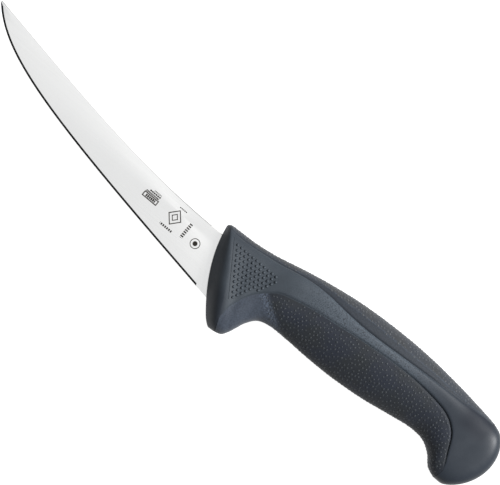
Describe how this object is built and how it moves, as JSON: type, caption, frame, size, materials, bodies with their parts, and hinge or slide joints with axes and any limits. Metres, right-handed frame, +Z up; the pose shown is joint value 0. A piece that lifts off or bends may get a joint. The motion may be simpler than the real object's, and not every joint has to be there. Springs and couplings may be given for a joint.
{
  "type": "boning knife",
  "caption": "Curved boning knife with a narrow upswept steel blade, a moulded core handle with a finger guard and hooked butt, and soft textured grips over back and belly.",
  "frame": {"origin": "on the surface that the knife lies on, under the middle of its length and height", "axes": "+X from the tip towards the butt, +Y from the cutting edge towards the spine, +Z up through the thickness"},
  "size_m": [0.2918, 0.052, 0.022],
  "materials": {
    "blade_steel": "fine satin, ground lengthwise",
    "core_plastic": "satin, fine grain, slate grey",
    "spine_rubber": "matt, pebbled",
    "belly_rubber": "matt, pebbled"
  },
  "bodies": {
    "root": {"blade": "blade_steel", "handle_core": "core_plastic", "spine_grip": "spine_rubber", "belly_grip": "belly_rubber"}
  },
  "joints": []
}
